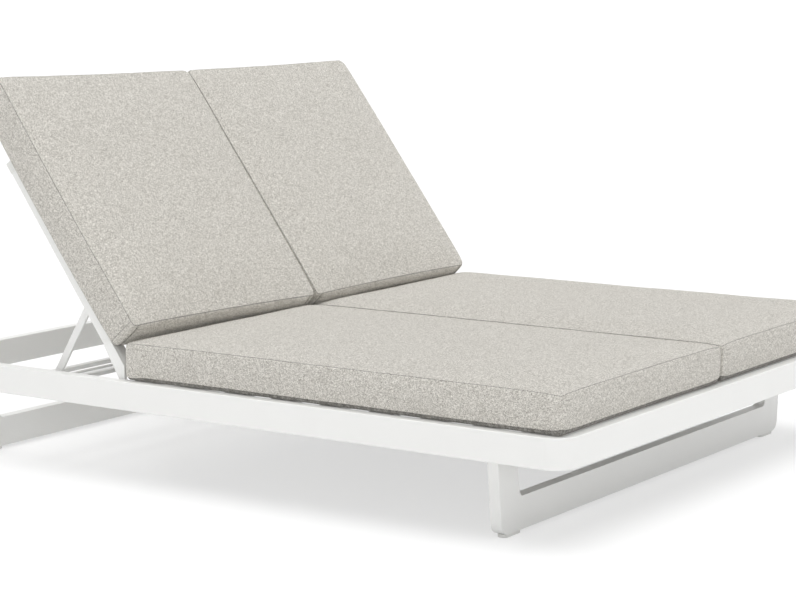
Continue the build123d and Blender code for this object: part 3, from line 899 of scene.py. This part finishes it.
def swell(cover, pinned, inner, width, far_end):
    """Let the cover swell, keep each point within the limits, and apply it."""
    group = cover.vertex_groups.new(name="held")
    for weight in sorted(set(pinned) - {0.0}):
        members = [n for n, w in enumerate(pinned) if w == weight]
        group.add(members, weight, "REPLACE")
    count = len(cover.data.vertices)
    before = np.empty(count * 3)
    cover.data.vertices.foreach_get("co", before)
    sim = cover.modifiers.new("swell", "CLOTH")
    sim.settings.quality = CLOTH_QUALITY
    sim.settings.mass = CLOTH_MASS
    sim.settings.tension_stiffness = CLOTH_STRETCH
    sim.settings.compression_stiffness = CLOTH_STRETCH
    sim.settings.shear_stiffness = CLOTH_SHEAR
    sim.settings.bending_stiffness = CLOTH_BEND
    sim.settings.vertex_group_mass = "held"
    sim.settings.use_pressure = True
    sim.settings.uniform_pressure_force = SWELL_PRESSURE
    sim.settings.effector_weights.gravity = 0
    sim.collision_settings.use_collision = False
    sim.point_cache.frame_start = 1
    sim.point_cache.frame_end = SWELL_FRAMES
    scene = bpy.context.scene
    for step in range(1, SWELL_FRAMES + 1):
        scene.frame_set(step)
    swollen = cover.evaluated_get(bpy.context.evaluated_depsgraph_get())
    after = np.empty_like(before)
    swollen.data.vertices.foreach_get("co", after)
    cover.modifiers.remove(sim)
    scene.frame_set(1)
    start = before.reshape(-1, 3)
    move = after.reshape(-1, 3) - start
    size = np.linalg.norm(move, axis=1)
    move *= np.minimum(1, SWELL_LIMIT / np.maximum(size, NO_MOVE))[:, None]
    place = start + move
    inwards = place[:, 0] * inner
    most = inner * np.minimum(inwards, width / 2 + NEIGHBOUR_ROOM)
    place[:, 0] = np.where(inwards > 0, most, place[:, 0])
    place[:, 1] = np.minimum(place[:, 1], far_end)
    cover.data.vertices.foreach_set("co", place.ravel())
    cover.vertex_groups.remove(group)


# Stitching and handling leave small waves in a cover. The fine ones fade out in a
# few steps from its seams, and on the underside both are pressed flatter. Points
# marked LINE_MARK or darker are on a sewn line, and stay where they are.
BROAD_WAVE = 0.16
BROAD_DEPTH = 0.0011
FINE_WAVE = 0.021
FINE_DEPTH = 0.0009
FINE_STEPS = 3
FINE_FADE = 0.72
LINE_MARK = 0.5
UNDERSIDE = 0.004
UNDERSIDE_SHARE = 0.25


def pucker(cover, seed):
    """Move a cover's points in and out in broad waves, and finer ones by a seam."""
    mesh = cover.data
    count = len(mesh.vertices)
    marks = np.empty(count)
    mesh.attributes["seam"].data.foreach_get("value", marks)
    ends = np.empty(len(mesh.edges) * 2, dtype=np.int64)
    mesh.edges.foreach_get("vertices", ends)
    ends = ends.reshape(-1, 2)
    near = marks
    for _ in range(FINE_STEPS):
        spread = near.copy()
        np.maximum.at(spread, ends[:, 0], near[ends[:, 1]] * FINE_FADE)
        np.maximum.at(spread, ends[:, 1], near[ends[:, 0]] * FINE_FADE)
        near = spread
    spots = np.empty(count * 3)
    normals = np.empty(count * 3)
    mesh.vertices.foreach_get("co", spots)
    mesh.vertex_normals.foreach_get("vector", normals)
    spots, normals = spots.reshape(-1, 3), normals.reshape(-1, 3)
    depth = np.zeros(count)
    for n in np.flatnonzero(marks < LINE_MARK):
        spot = Vector(spots[n])
        broad = noise.noise(spot / BROAD_WAVE + Vector((seed, 0, 0))) * BROAD_DEPTH
        fine = noise.noise(spot / FINE_WAVE + Vector((0, seed, 0))) * FINE_DEPTH
        share = UNDERSIDE_SHARE if spot.z < UNDERSIDE else 1.0
        depth[n] = (broad + fine * near[n]) * share
    mesh.vertices.foreach_set("co", (spots + normals * depth[:, None]).ravel())
    mesh.update()


def sew(cover):
    """Smooth the cover once, with its seams kept sharp, and apply it."""
    subdivision = cover.modifiers.new("smooth", "SUBSURF")
    subdivision.levels = 1
    subdivision.render_levels = 1
    bpy.context.view_layer.objects.active = cover
    bpy.ops.object.modifier_apply(modifier=subdivision.name)


# Seat cushions: they lie loose on the slats, side by side with a narrow joint
# between them, and the zip panel at the head end. The bottom panel's rolled edge
# is painted darker, as painted shade for the dark line of shade under them.
FRAME_TOP = 0.266
LYING_GAP = 0.0006
SEAT_SEEDS = {"left": 1.7, "right": 4.6}
SEAT_WIDTH = 0.7552
SEAT_LENGTHS = {"left": 1.252, "right": 1.249}
SEAT_X = 0.3829
SEAT_REAR = 0.2715
SEAT_LIFT = (0.0010, 0.0102)
SEAT_CORNERS = {"left": (0.012, 0.006), "right": (0.006, 0.006)}
SEAT_ZIP_BULGE = -0.0005
SEAT_REAR_ROOM = 0.0012
SEAT_ROLL_SHADE = 0.9

# Back cushions: they lie loose on the backrests' slats, a little narrower than the
# seats, with the zip panel at the lower end, which slants. As the photograph shows,
# the left one lies askew and both lie to the left, by BACK_PLACES across and along.
BACK_SEEDS = {"left": 14.8, "right": 17.7}
BACK_WIDTHS = {"left": 0.735, "right": 0.730}
BACK_PLACES = {"left": (-0.386, 0.003), "right": (0.3505, -0.005)}
BACK_ASKEW = {"left": (-0.006, -0.022), "right": (-0.016, 0.0)}
BACK_CUSHION_LENGTH = 0.745
BACK_LIFT = (0.0025, 0.0025)
BACK_CORNERS = (0.016, 0.016)
BACK_ZIP_BULGE = 0.009
BACK_SIDE_FULL = {"left": 0.007, "right": 0.002}
BACK_SLANT = 0.008
BACK_TOP_ROOM = 0.008

# Laid flat, the CAD's back cushion starts 5 mm behind its seat cushion, which ends
# 12 mm before the hinge. It slides up by 119 mm for each radian that it rises.
FLAT_GAP = 0.005
SEAT_TO_HINGE = 0.012
SLIDE_PER_RADIAN = 0.119
BACK_CUSHION_START = FLAT_GAP - SEAT_TO_HINGE + SLIDE_PER_RADIAN * SLOPE
BACK_MIDDLE = BACK_CUSHION_START + BACK_CUSHION_LENGTH / 2

for side, sign in SIDES.items():
    across, slip = BACK_PLACES[side]
    lean, drop = BACK_ASKEW[side]
    askew = Matrix(((1, lean, 0, 0), (drop, 1, 0, 0), (0, 0, 1, 0), (0, 0, 0, 1)))
    on_back = Matrix.Translation((across, BACK_MIDDLE + slip, BAR_FRONT + LYING_GAP))
    seat_middle = SEAT_REAR - SEAT_LENGTHS[side] / 2
    on_frame = Matrix.Translation((sign * SEAT_X, seat_middle, FRAME_TOP + LYING_GAP))
    seat_cut = {
        "seed": SEAT_SEEDS[side],
        "width": SEAT_WIDTH,
        "length": SEAT_LENGTHS[side],
        "zip_end": 1,
        "lift": SEAT_LIFT,
        "corners": SEAT_CORNERS[side],
        "zip_bulge": SEAT_ZIP_BULGE,
        "side_full": -DRAW_IN,
        "slant": 0.0,
        "roll_mark": SEAT_ROLL_SHADE,
        "corner_seams": False,
    }
    back_cut = {
        "seed": BACK_SEEDS[side],
        "width": BACK_WIDTHS[side],
        "length": BACK_CUSHION_LENGTH,
        "zip_end": -1,
        "lift": BACK_LIFT,
        "corners": BACK_CORNERS,
        "zip_bulge": BACK_ZIP_BULGE,
        "side_full": BACK_SIDE_FULL[side],
        "slant": BACK_SLANT,
        "roll_mark": 0.0,
        "corner_seams": True,
    }
    on_backrest = back_axes @ on_back @ askew
    for kind, body, place, room, cut in (
        ("seat", "frame", on_frame, SEAT_REAR_ROOM, seat_cut),
        ("back", f"{side}_back_cushion", on_backrest, BACK_TOP_ROOM, back_cut),
    ):
        length = cut["length"]
        cover, pinned = cushion_cover(f"{side}_{kind}_cover", -sign, **cut)
        swell(cover, pinned, -sign, cut["width"], length / 2 + room)
        pucker(cover, cut["seed"])
        sew(cover)
        cover.data.transform(place)
        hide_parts(f"{side}_{kind}_cushion")
        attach(cover, body)
        if kind == "back":
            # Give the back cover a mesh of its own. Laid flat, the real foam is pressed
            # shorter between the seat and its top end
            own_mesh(cover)

# The studio: a white paper floor, a pale sky that is brightest low down, as in a
# light tent, and one broad lamp. The camera sees white paper with a light shadow.
FLOOR_SIZE = 400.0
PAPER = "#F2F2F2"
PAPER_SEEN = "#B8B8B8"
PAPER_GLOW = 0.56
SKY_WHITE = (1.0, 1.0, 1.0, 1.0)
SKY_LOW = 1.72
SKY_HIGH = 0.35
SKY_LOW_END = 0.5
LAMP_ENERGY = 2.08
LAMP_ANGLE = radians(60)
LAMP_WAY = Vector((-0.11, -0.1, 0.989))


def seen_share(tree):
    """1 for what the camera sees, also in gloss and through glass, and 0 for light."""
    path = add_node(tree, "ShaderNodeLightPath")
    share = path.outputs["Is Camera Ray"]
    for ray in ("Is Glossy Ray", "Is Transmission Ray"):
        share = add_node(
            tree,
            "ShaderNodeMath",
            {"operation": "MAXIMUM"},
            {0: share, 1: path.outputs[ray]},
        ).outputs["Value"]
    return share


floor_paper = bpy.data.materials.new("white_paper_floor")
floor_paper.use_nodes = True
tree = floor_paper.node_tree
tree.nodes.clear()
paper = add_node(tree, "ShaderNodeBsdfDiffuse", inputs={"Color": linear(PAPER)})
paper_seen = add_node(
    tree, "ShaderNodeBsdfDiffuse", inputs={"Color": linear(PAPER_SEEN)}
)
glow = add_node(tree, "ShaderNodeEmission", inputs={"Strength": PAPER_GLOW})
lifted = add_node(
    tree,
    "ShaderNodeAddShader",
    inputs={0: paper_seen.outputs["BSDF"], 1: glow.outputs["Emission"]},
)
surface = add_node(
    tree,
    "ShaderNodeMixShader",
    inputs={
        0: seen_share(tree),
        1: paper.outputs["BSDF"],
        2: lifted.outputs["Shader"],
    },
)
add_node(
    tree, "ShaderNodeOutputMaterial", inputs={"Surface": surface.outputs["Shader"]}
)

half_floor = FLOOR_SIZE / 2
floor = add_mesh(
    "studio_floor",
    [
        (-half_floor, -half_floor, 0),
        (half_floor, -half_floor, 0),
        (half_floor, half_floor, 0),
        (-half_floor, half_floor, 0),
    ],
    [(0, 1, 2, 3)],
    floor_paper,
)

world = bpy.data.worlds.new("studio")
bpy.context.scene.world = world
world.use_nodes = True
tree = world.node_tree
tree.nodes.clear()
way = add_node(tree, "ShaderNodeTexCoord").outputs["Generated"]
rise = add_node(tree, "ShaderNodeSeparateXYZ", inputs={"Vector": way}).outputs["Z"]
level = add_node(
    tree,
    "ShaderNodeMapRange",
    {"interpolation_type": "SMOOTHSTEP"},
    {
        "Value": rise,
        "From Min": 0.0,
        "From Max": SKY_LOW_END,
        "To Min": SKY_LOW,
        "To Max": SKY_HIGH,
    },
).outputs["Result"]
sky = add_node(
    tree, "ShaderNodeBackground", inputs={"Color": SKY_WHITE, "Strength": level}
)
white = add_node(
    tree, "ShaderNodeBackground", inputs={"Color": SKY_WHITE, "Strength": 1.0}
)
mix = add_node(
    tree,
    "ShaderNodeMixShader",
    inputs={
        0: seen_share(tree),
        1: sky.outputs["Background"],
        2: white.outputs["Background"],
    },
)
add_node(tree, "ShaderNodeOutputWorld", inputs={"Surface": mix.outputs["Shader"]})

lamp_data = bpy.data.lights.new("softbox", "SUN")
lamp_data.energy = LAMP_ENERGY
lamp_data.angle = LAMP_ANGLE
lamp = bpy.data.objects.new("softbox", lamp_data)
bpy.context.scene.collection.objects.link(lamp)
lamp.rotation_euler = LAMP_WAY.to_track_quat("Z", "Y").to_euler()

# The camera stands where the photograph was taken from, worked out from the
# frame's outline: its heading, its dip, its small roll and its focal length.
STAND = (-4.865, -3.426, 1.285)
HEADING = radians(-55.0)
DIP = radians(8.49)
ROLL = radians(-0.392)
SENSOR = 36.0
FOCAL_LENGTH = 101.77
VIEW_DEPTH = 1000.0
backward = Vector((sin(HEADING) * cos(DIP), -cos(HEADING) * cos(DIP), sin(DIP)))
level_right = Vector((cos(HEADING), sin(HEADING), 0))
level_up = backward.cross(level_right)
right = cos(ROLL) * level_right + sin(ROLL) * level_up
up = -sin(ROLL) * level_right + cos(ROLL) * level_up
camera_data = bpy.data.cameras.new("camera")
camera_data.sensor_width = SENSOR
camera_data.lens = FOCAL_LENGTH
camera_data.clip_end = VIEW_DEPTH
camera = bpy.data.objects.new("camera", camera_data)
bpy.context.scene.collection.objects.link(camera)
camera_turn = Matrix((right, up, backward)).transposed().to_4x4()
camera.matrix_world = Matrix.Translation(STAND) @ camera_turn
bpy.context.scene.camera = camera
bpy.context.scene.view_settings.view_transform = "Standard"
